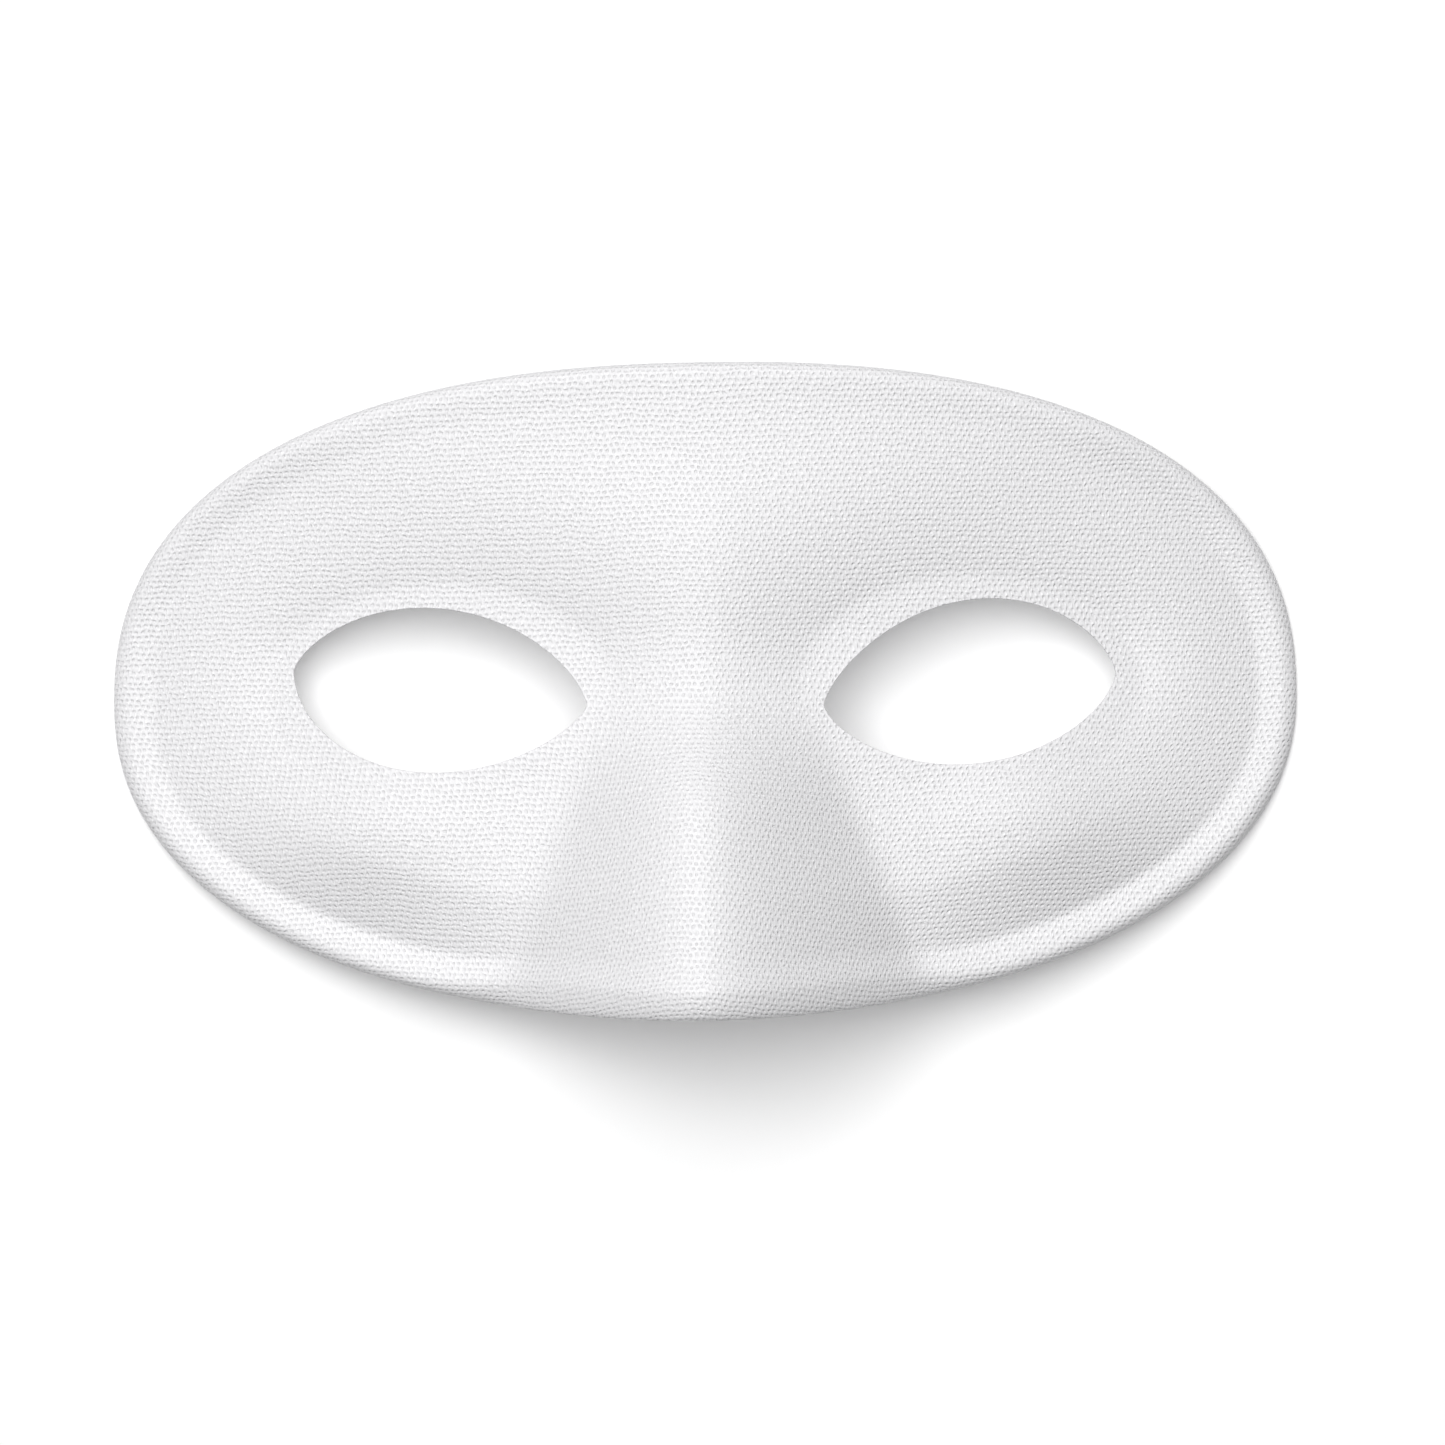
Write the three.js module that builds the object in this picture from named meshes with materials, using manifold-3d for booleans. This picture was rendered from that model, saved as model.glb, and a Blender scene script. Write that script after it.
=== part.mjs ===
// A half mask for the eyes: one moulded shell with a nose pocket, two eye holes and a rolled rim.
// Millimetres. X runs across the face, Y up the face, Z out of the face. It lies face up on Z = 0.
import * as THREE from 'three';
import { mergeVertices } from 'three/addons/utils/BufferGeometryUtils.js';
import Module from 'manifold-3d';

// Outline: two half superellipses that meet on the widest line.
const WIDTH = 170;
const UPPER_HEIGHT = 47.9;
const LOWER_HEIGHT = 45.2;
const UPPER_SQUARENESS = 2.37;
const LOWER_SQUARENESS = 2.18;

// Wrap around the head.
const WRAP_DEPTH = 20.5;
const WRAP_POWER = 1.72;
const WALL = 1.2;

// Nose pocket: a ridge with straight sides that ends in a crease on each side.
const BRIDGE_WIDTH = 27;
const NOSE_FOOT_WIDTH = 62;
const BROW_SPREAD = 72;
const BROW_TOP = 38;
const BRIDGE_SLOPE = 0.4;
const NOSE_SLOPE = 0.88;
const NOSE_BREAK = 0;
const NOSE_FULL = 18;
const BRIDGE_ROUNDING = 6;
const TIP_ROUNDING = 9.5;
const CREASE_ROUNDING = 0.6;

// The shallow sunk field around each eye.
const EYE_CENTRE = 37.8;
const FIELD_WIDTH = 49.6;
const FIELD_HEIGHT = 31.6;
const FIELD_DEPTH = 1.9;
const FIELD_BROW_RAMP = 15;
const FIELD_CHEEK_RAMP = 10;
const FIELD_CHEEK_SHARE = 0.2;
const FIELD_TURN = 10;
const FIELD_FADE_FROM = 60;
const FIELD_FADE_TO = 84;

// Eye holes: two arcs between an inner and an outer corner.
const EYE_WIDTH = 42;
const EYE_HEIGHT = 23.6;
const EYE_TILT_RISE = 4.4;
// rise: share of the hole's height. innerPower and outerPower: bluntness at each corner.
const EYE_ARCS = [
  { side: 1, rise: 0.52, innerPower: 0.66, outerPower: 0.65 },
  { side: -1, rise: 0.475, innerPower: 0.73, outerPower: 0.59 },
];
const EYE_ARC_STEPS = 22;

// Cheeks: a swell under each eye that drops to the rim.
const CHEEK_RISE = 2.1;
const CHEEK_OUT = 9;
const CHEEK_DOWN = 18.5;
const CHEEK_REACH_X = 12.5;
const CHEEK_REACH_Y = 9;
const DROP_DEPTH = 3.3;
const DROP_TURN = -54;
const DROP_SPREAD = 25;
const DROP_WIDTH = 10.4;
const DROP_POWER = 1.4;

// Rim: a valley, a flange that rises outwards to a crest, and a rolled edge.
const CREST_INSET = 2.6;
const NOSE_CREST_INSET = 4.1;
const NOSE_CREST_TURN = -60;
const NOSE_CREST_FULL = -76;
const FLANGE_WIDTH = 3.2;
const FLANGE_RISE = 1;
// turn: degrees around the face from the widest line. rise: share of FLANGE_RISE.
const FLANGE_TABLE = [
  { turn: -90, rise: 0.5 },
  { turn: -60, rise: 0.8 },
  { turn: -30, rise: 1 },
  { turn: 30, rise: 0.9 },
  { turn: 60, rise: 0.6 },
  { turn: 90, rise: 0.1 },
];
const ROLL_DROP = 3.4;
const REST_FLAT = 1.6;

// Mesh density.
const CHEEK_SECTORS = 19;
const NOSE_SECTORS = 10;
const ROLL_STEPS = 4;
const FLANGE_STEPS = [0.5, 1, 1.5, 2.2];
const INNER_STEPS = 13;
const MIDLINE_SHARE = 0.45;
const EDGE_SAMPLES = 720;

const HALF_WIDTH = WIDTH / 2;
const HALF_HEIGHT = (UPPER_HEIGHT + LOWER_HEIGHT) / 2;
const WIDEST_Y = (LOWER_HEIGHT - UPPER_HEIGHT) / 2;

const clamp01 = (t) => Math.min(1, Math.max(0, t));
const ease = (t) => clamp01(t) ** 2 * (3 - 2 * clamp01(t));
const bell = (t) => Math.exp(-t * t);
const mix = (a, b, t) => a + (b - a) * t;
const softMax = (a, b, k) => (a + b + Math.hypot(a - b, k)) / 2;

function outlinePoint(angle) {
  const c = Math.cos(angle);
  const s = Math.sin(angle);
  const height = s >= 0 ? UPPER_HEIGHT : LOWER_HEIGHT;
  const power = s >= 0 ? UPPER_SQUARENESS : LOWER_SQUARENESS;
  const x = HALF_WIDTH * Math.sign(c) * Math.abs(c) ** (2 / power);
  const rise = height * Math.sign(s) * Math.abs(s) ** (2 / power);
  const out = new THREE.Vector2(
    Math.sign(c) * Math.abs(x / HALF_WIDTH) ** (power - 1) / HALF_WIDTH,
    Math.sign(s) * Math.abs(rise / height) ** (power - 1) / height,
  ).normalize();
  return { x, y: WIDEST_Y + rise, out };
}

const EDGE = Array.from({ length: EDGE_SAMPLES }, (_, i) => outlinePoint(2 * Math.PI * i / EDGE_SAMPLES));

function edgeDistance(x, y) {
  return Math.min(...EDGE.map((p) => Math.hypot(p.x - x, p.y - y)));
}

// Half width of the nose at a height: straight down the sides, spreading into the brow above.
function creaseX(y) {
  if (y < 0) {
    return mix(BRIDGE_WIDTH, NOSE_FOOT_WIDTH, clamp01(-y / HALF_HEIGHT)) / 2;
  }
  return mix(BRIDGE_WIDTH, BROW_SPREAD, (y / BROW_TOP) ** 2) / 2;
}

// The face between the nose and the rim: the sunk eye field and the cheek swell.
function cheekField(x, y) {
  const dx = x - EYE_CENTRE;
  const ring = Math.max(Math.hypot(dx / (FIELD_WIDTH / 2), y / (FIELD_HEIGHT / 2)), 0.001);
  const beyond = (ring - 1) * Math.hypot(dx, y) / ring;
  const upper = ease((y + FIELD_TURN) / (2 * FIELD_TURN));
  const ramp = mix(FIELD_CHEEK_RAMP, FIELD_BROW_RAMP, upper);
  const depth = FIELD_DEPTH * mix(FIELD_CHEEK_SHARE, 1, upper);
  const kept = 1 - ease((x - FIELD_FADE_FROM) / (FIELD_FADE_TO - FIELD_FADE_FROM));
  const sunk = -depth * kept * (1 - clamp01(beyond / ramp)) ** 2;
  const swell = CHEEK_RISE * bell((dx - CHEEK_OUT) / CHEEK_REACH_X) * bell((y + CHEEK_DOWN) / CHEEK_REACH_Y);
  return sunk + swell;
}

function turnAt(x, y) {
  return THREE.MathUtils.radToDeg(Math.atan2(y / HALF_HEIGHT, Math.abs(x) / HALF_WIDTH));
}

function crestInset(turn) {
  const nose = ease((turn - NOSE_CREST_TURN) / (NOSE_CREST_FULL - NOSE_CREST_TURN));
  return mix(CREST_INSET, NOSE_CREST_INSET, nose);
}

function flangeRise(turn) {
  const next = Math.max(1, FLANGE_TABLE.findIndex((row) => row.turn >= turn));
  const a = FLANGE_TABLE[next - 1];
  const b = FLANGE_TABLE[next];
  return FLANGE_RISE * mix(a.rise, b.rise, (turn - a.turn) / (b.turn - a.turn));
}

// Side slope of the nose: gentle at the bridge, steep below it.
function noseSlope(y) {
  const bridge = BRIDGE_SLOPE * ease((BROW_TOP - y) / (BROW_TOP - NOSE_BREAK));
  return bridge + (NOSE_SLOPE - BRIDGE_SLOPE) * ease((NOSE_BREAK - y) / NOSE_FULL);
}

// Height of the outer face, without the rolled edge, where the rim is the given distance away.
function faceHeight(px, y, inset) {
  const x = Math.abs(px);
  const wrap = -WRAP_DEPTH * (x / HALF_WIDTH) ** WRAP_POWER;
  const rounding = mix(BRIDGE_ROUNDING, TIP_ROUNDING, ease(-y / HALF_HEIGHT));
  const crease = creaseX(y);
  const rise = noseSlope(y) * (Math.hypot(crease, rounding) - Math.hypot(x, rounding));
  const body = softMax(cheekField(x, y), cheekField(crease, y) + rise, CREASE_ROUNDING);
  const turn = turnAt(x, y);
  const crest = crestInset(turn);
  const beyond = inset - crest - FLANGE_WIDTH;
  const low = bell((turn - DROP_TURN) / DROP_SPREAD);
  const drop = -DROP_DEPTH * low * (1 - clamp01(beyond / DROP_WIDTH)) ** DROP_POWER;
  const flange = flangeRise(turn) * clamp01(-beyond / FLANGE_WIDTH);
  return wrap + body + drop + flange;
}

// The angle whose outline point lies on the nose crease.
function footAngle() {
  let low = Math.PI / 4;
  let high = Math.PI / 2;
  for (let i = 0; i < 40; i += 1) {
    const middle = (low + high) / 2;
    const p = outlinePoint(-middle);
    if (p.x > creaseX(p.y)) {
      low = middle;
    } else {
      high = middle;
    }
  }
  return (low + high) / 2;
}

const FOOT = footAngle();

// One quarter turn of sector angles, with one of them on the crease.
function quarterAngles() {
  const cheek = Array.from({ length: CHEEK_SECTORS }, (_, i) => FOOT * i / CHEEK_SECTORS);
  const nose = Array.from({ length: NOSE_SECTORS }, (_, i) => mix(FOOT, Math.PI / 2, i / NOSE_SECTORS));
  return [...cheek, ...nose];
}

function allAngles() {
  const quarter = quarterAngles();
  const half = [...quarter, Math.PI / 2, ...quarter.slice(1).reverse().map((a) => Math.PI - a)];
  return [...half, Math.PI, ...half.slice(1).reverse().map((a) => -a)];
}

// Each sector line runs straight from the outline to a point on the middle line.
function midlinePoint(angle) {
  const c = Math.abs(Math.cos(angle));
  const footC = Math.cos(FOOT);
  const end = HALF_WIDTH * MIDLINE_SHARE;
  const crease = creaseX(WIDEST_Y);
  const x = c < footC ? crease * c / footC : mix(crease, end, (c - footC) / (1 - footC));
  return { x: Math.sign(Math.cos(angle)) * x, y: WIDEST_Y };
}

const END = outlinePoint(0);
const FLOOR = faceHeight(END.x, END.y, 0) - ROLL_DROP + REST_FLAT;

function sectorPoints(angle) {
  const edge = outlinePoint(angle);
  const middle = midlinePoint(angle);
  const along = new THREE.Vector2(edge.x - middle.x, edge.y - middle.y);
  const length = along.length();
  along.divideScalar(length);
  const perInset = 1 / along.dot(edge.out);
  const edgeTop = faceHeight(edge.x, edge.y, 0);
  const roll = edgeTop - Math.max(FLOOR, edgeTop - ROLL_DROP);
  const crest = crestInset(turnAt(edge.x, edge.y));
  const at = (inset, rollLeft) => {
    const x = edge.x - along.x * inset * perInset;
    const y = edge.y - along.y * inset * perInset;
    return new THREE.Vector3(x, y, faceHeight(x, y, inset) - roll * rollLeft - FLOOR);
  };
  const points = [];
  for (let i = 0; i < ROLL_STEPS; i += 1) {
    const turn = (Math.PI / 2) * i / ROLL_STEPS;
    points.push(at(crest * (1 - Math.cos(turn)), 1 - Math.sin(turn)));
  }
  for (const step of [0, ...FLANGE_STEPS]) {
    points.push(at(crest + FLANGE_WIDTH * step, 0));
  }
  const last = points[points.length - 1];
  for (let i = 1; i <= INNER_STEPS; i += 1) {
    const x = mix(last.x, middle.x, i / INNER_STEPS);
    const y = mix(last.y, middle.y, i / INNER_STEPS);
    points.push(new THREE.Vector3(x, y, faceHeight(x, y, edgeDistance(x, y)) - FLOOR));
  }
  return points;
}

// Triangles of a grid of rows that closes on itself in the row direction.
function gridFaces(rows, columns, base, flip) {
  const faces = [];
  for (let r = 0; r < rows; r += 1) {
    const next = (r + 1) % rows;
    for (let c = 0; c < columns - 1; c += 1) {
      const a = base + r * columns + c;
      const b = base + next * columns + c;
      const quad = flip ? [a, a + 1, b, b, a + 1, b + 1] : [a, b, a + 1, b, b + 1, a + 1];
      faces.push(...quad);
    }
  }
  return faces;
}

function indexedGeometry(positions, faces) {
  const geometry = new THREE.BufferGeometry();
  geometry.setAttribute('position', new THREE.Float32BufferAttribute(positions, 3));
  geometry.setIndex(faces);
  return mergeVertices(geometry, 0.0001);
}

// Outward direction of the outer face at a grid point, from its neighbours along and across the sector.
function outerNormal(outer, row, column) {
  const rows = outer.length;
  const around = outer[(row + 1) % rows][column].clone().sub(outer[(row + rows - 1) % rows][column]);
  const line = outer[row];
  const beyond = column + 1 < line.length ? line[column + 1] : outer[(rows - row) % rows][column - 1];
  const normal = around.cross(beyond.clone().sub(line[column - 1]));
  return normal.lengthSq() > 0 ? normal.normalize() : new THREE.Vector3(0, 0, 1);
}

// The whole shell before the eye holes are cut.
function blankShell() {
  const angles = allAngles();
  const outer = angles.map(sectorPoints);
  const inner = outer.map((line, row) => line.map((p, column) => {
    const { out } = outlinePoint(angles[row]);
    const away = column === 0 ? new THREE.Vector3(out.x, out.y, 0) : outerNormal(outer, row, column);
    return p.clone().addScaledVector(away, -WALL);
  }));
  const columns = outer[0].length;
  const count = angles.length * columns;
  const faces = [
    ...gridFaces(angles.length, columns, 0, false),
    ...gridFaces(angles.length, columns, count, true),
  ];
  for (let r = 0; r < angles.length; r += 1) {
    const a = r * columns;
    const b = ((r + 1) % angles.length) * columns;
    faces.push(a, count + a, b, b, count + a, count + b);
  }
  return indexedGeometry([...outer.flat(), ...inner.flat()].flatMap((p) => p.toArray()), faces);
}

function eyeOutline(mirror) {
  const inner = EYE_CENTRE - EYE_WIDTH / 2;
  const points = [];
  for (const arc of EYE_ARCS) {
    const peak = arc.innerPower / (arc.innerPower + arc.outerPower);
    for (let i = 0; i < EYE_ARC_STEPS; i += 1) {
      const turn = (1 - Math.cos(Math.PI * i / EYE_ARC_STEPS)) / 2;
      const t = arc.side > 0 ? 1 - turn : turn;
      const chord = EYE_TILT_RISE * (t - 0.5);
      const bulge = (t / peak) ** arc.innerPower * ((1 - t) / (1 - peak)) ** arc.outerPower;
      const y = chord + arc.side * arc.rise * EYE_HEIGHT * bulge;
      points.push(new THREE.Vector2(mirror * (inner + EYE_WIDTH * t), y));
    }
  }
  return points;
}

const wasm = await Module();
wasm.setup();

function toManifold(geometry) {
  const mesh = new wasm.Mesh({
    numProp: 3,
    vertProperties: new Float32Array(geometry.attributes.position.array),
    triVerts: new Uint32Array(geometry.index.array),
  });
  mesh.merge();
  return new wasm.Manifold(mesh);
}

function eyeCutter(mirror, height) {
  const shape = new THREE.Shape(eyeOutline(mirror));
  const geometry = new THREE.ExtrudeGeometry(shape, { depth: height, bevelEnabled: false });
  geometry.deleteAttribute('normal');
  geometry.deleteAttribute('uv');
  return toManifold(mergeVertices(geometry, 0.0001));
}

function maskShell() {
  let solid = toManifold(blankShell());
  const tall = solid.boundingBox().max[2] + WALL;
  for (const mirror of [1, -1]) {
    solid = solid.subtract(eyeCutter(mirror, tall));
  }
  const mesh = solid.getMesh();
  const geometry = new THREE.BufferGeometry();
  geometry.setAttribute('position', new THREE.Float32BufferAttribute(mesh.vertProperties, 3));
  geometry.setIndex(Array.from(mesh.triVerts));
  const material = new THREE.MeshStandardMaterial({ color: '#edeef0', roughness: 0.85, metalness: 0 });
  const shell = new THREE.Mesh(geometry, material);
  shell.name = 'mask_shell';
  return shell;
}

const group = new THREE.Group();
group.add(maskShell());
export default group;
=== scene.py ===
import math

import bpy
import numpy as np
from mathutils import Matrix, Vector
from mathutils.geometry import delaunay_2d_cdt


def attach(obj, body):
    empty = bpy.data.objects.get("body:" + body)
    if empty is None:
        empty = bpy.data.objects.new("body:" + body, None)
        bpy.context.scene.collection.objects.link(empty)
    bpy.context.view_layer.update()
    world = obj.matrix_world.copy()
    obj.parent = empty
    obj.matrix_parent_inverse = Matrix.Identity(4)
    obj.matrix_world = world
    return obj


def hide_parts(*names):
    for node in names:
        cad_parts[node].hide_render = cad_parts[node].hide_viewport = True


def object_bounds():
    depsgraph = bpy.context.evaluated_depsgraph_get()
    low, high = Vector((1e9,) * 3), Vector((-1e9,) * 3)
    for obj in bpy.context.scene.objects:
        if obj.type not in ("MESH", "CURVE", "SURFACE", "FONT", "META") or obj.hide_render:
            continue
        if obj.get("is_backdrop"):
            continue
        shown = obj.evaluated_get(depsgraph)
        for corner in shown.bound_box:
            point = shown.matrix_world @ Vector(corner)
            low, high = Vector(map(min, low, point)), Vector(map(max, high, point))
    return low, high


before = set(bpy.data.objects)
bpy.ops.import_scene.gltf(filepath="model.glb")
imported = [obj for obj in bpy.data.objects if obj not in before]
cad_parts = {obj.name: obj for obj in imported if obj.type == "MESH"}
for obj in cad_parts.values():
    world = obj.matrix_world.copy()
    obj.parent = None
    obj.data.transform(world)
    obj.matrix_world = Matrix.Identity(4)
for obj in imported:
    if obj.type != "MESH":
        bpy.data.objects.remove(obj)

bl_info = {
    "name": "Half Mask",
    "version": (1, 0, 0),
    "blender": (4, 5, 0),
    "location": "View3D > Sidebar > Half Mask",
    "description": "Builds a cloth-faced half mask, and the stage it lies on",
    "category": "Add Mesh",
}

NODE = "mask_shell"
CAD_LOW, CAD_HIGH = (Vector(corner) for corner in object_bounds())
CAD_SIZE = CAD_HIGH - CAD_LOW

# Shape of the outline and the wrap.
UPPER_SHARE = 0.5145
UPPER_SQUARENESS = 2.37
LOWER_SQUARENESS = 2.18
WRAP_POWER = 1.72
REST_FLAT = 0.0016

# Nose, in metres up the face and across it.
BROW_SPREAD = 0.072
BROW_TOP = 0.038
NOSE_BREAK = 0.0
NOSE_FULL = 0.018
BRIDGE_ROUNDING = 0.006
TIP_ROUNDING = 0.0095
LEFT_CREASE_ROUNDING = 0.0026
RIGHT_CREASE_ROUNDING = 0.0016
SIDE_BLEND = 0.008
LEAN_FROM = 0.012
LEAN_TO = -0.028

# The sunk field around each eye, and the cheek swell below it.
FIELD_WIDTH = 0.0496
FIELD_HEIGHT = 0.0316
FIELD_BROW_RAMP = 0.015
FIELD_CHEEK_RAMP = 0.010
FIELD_CHEEK_SHARE = 0.2
FIELD_TURN = 0.010
FIELD_FADE = (0.060, 0.084)
CHEEK_OUT = 0.009
CHEEK_DOWN = 0.0185
CHEEK_REACH = (0.0125, 0.009)
DROP_TURN = -54.0
DROP_SPREAD = 25.0
DROP_WIDTH = 0.0104
DROP_POWER = 1.4

# Eye holes, which differ a little. Shift and tilt of the corners' line, then the two arcs: side,
# rise as a share of the eye's height, bluntness at the inner and at the outer corner.
EYES = {
    -1: (0.00088, 0.00574, ((1, 0.4856, 0.642, 0.712), (-1, 0.5238, 0.772, 0.508))),
    1: (-0.00056, 0.00385, ((1, 0.5400, 0.714, 0.672), (-1, 0.4549, 0.698, 0.636))),
}

# Rim: degrees around the face from its widest line, and the share of the flange's rise there.
FLANGE_TURNS = (-90.0, -70.0, -50.0, -30.0, 25.0, 55.0, 90.0)
FLANGE_SHARES = (0.5, 0.5, 0.95, 1.4, 1.4, 0.5, 0.1)
NOSE_CREST_TURNS = (-60.0, -76.0)
NOSE_LIP_STRAIGHT = 0.45
# Below 1 the roll stays nearly level and turns down sharply at its edge. Under the nose it is 1.
ROLL_POWER = 0.72

# The eye holes are cut straight down; the wall turns square to the face over the cut's reach.
CUT_REACH = 0.005
CUT_BULGE = 0.00005

# Mesh density.
RIM_POINTS = 420
ROLL_ROWS = 11
FLANGE_ROWS = 5
VALLEY_ROWS = 3
VALLEY_SPAN = 0.0026
EYE_POINTS = 150
EYE_LIP = 0.0004
FACE_STEP = 0.00092
LOOP_CLEARANCE = 0.6 * FACE_STEP
CUT_ROWS = 4
SHARP_ANGLE = 50.0

# Steps in which curves are measured, and points taken at a time to find the nearest of a loop.
OUTLINE_STEPS = 8000
EDGE_POINTS = 1600
EYE_ARC_STEPS = 1200
CLOTH_STEPS = (340, 186)
GAP_BATCH = 2000

# Weave. Relief is in shares of the thread height; tone runs from the dark colour, 0, to the thread
# colour, 1, and holds painted glints and painted shade; noise scales are in cells for each metre.
WANDER_SCALE = 620.0
STRAY_SCALE = 540.0
STRAY_SHARE = 0.6
SWAY_SCALE = 45.0
SPECKLE_SCALE = 2300.0
# Random patches where the thread crowns get painted glints.
GLINT_PATCH_SCALE = 900.0
GLINT_PATCH_FROM = 0.42
GLINT_PATCH_GAIN = 5.0
HOLLOW_POWER = 0.5
HOLLOW_LENGTHENING = 2.5
ROW_POWER = 3.0
CLOTH_RELIEF = 0.6
CROWN_RELIEF = 0.2
HOLLOW_RELIEF = 0.6
ROW_RELIEF = 0.08
SPECKLE_RELIEF = 0.5
CLOTH_TONE = 0.62
# Painted highlight: how much glints lighten the colour of the crowns.
GLINT_PAINTED_HIGHLIGHT = 0.4
# Painted shade: how much the colour darkens in the hollows and between the rows.
HOLLOW_PAINTED_SHADE = 0.1
ROW_PAINTED_SHADE = 0.02
CUT_WEAVE_LOSS = 0.85
CLOTH_ROUGHNESS = 0.66
TONE_ROUGHNESS = 0.12

# A few darker specks in the cloth: their grid, size as a share of a cell, and darkness.
SPECK_SCALE = 50.0
SPECK_PICK = 0.7
SPECK_RADIUS = 0.011
SPECK_DARKNESS = 0.6

# Stage.
WHITE = (1.0, 1.0, 1.0, 1.0)
VIEW_GAMMA = 0.85
FLOOR_HALF = 3.0
FLOOR_LEVEL = -0.0001
SENSOR_WIDTH = 36.0
CAMERA_REACH = 20.0


def clamp01(t):
    return np.clip(t, 0.0, 1.0)


def ease(t):
    t = clamp01(t)
    return t * t * (3 - 2 * t)


def bell(t):
    return np.exp(-t * t)


def mix(a, b, t):
    return a + (b - a) * t


def soft_max(a, b, k):
    return (a + b + np.hypot(a - b, k)) / 2


def unit(vectors):
    return vectors / np.linalg.norm(vectors, axis=1, keepdims=True)


def path_run(*coordinates):
    """Distance run along a path up to each of its points."""
    return np.concatenate([[0.0], np.cumsum(np.hypot(*(np.diff(c) for c in coordinates)))])


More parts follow.
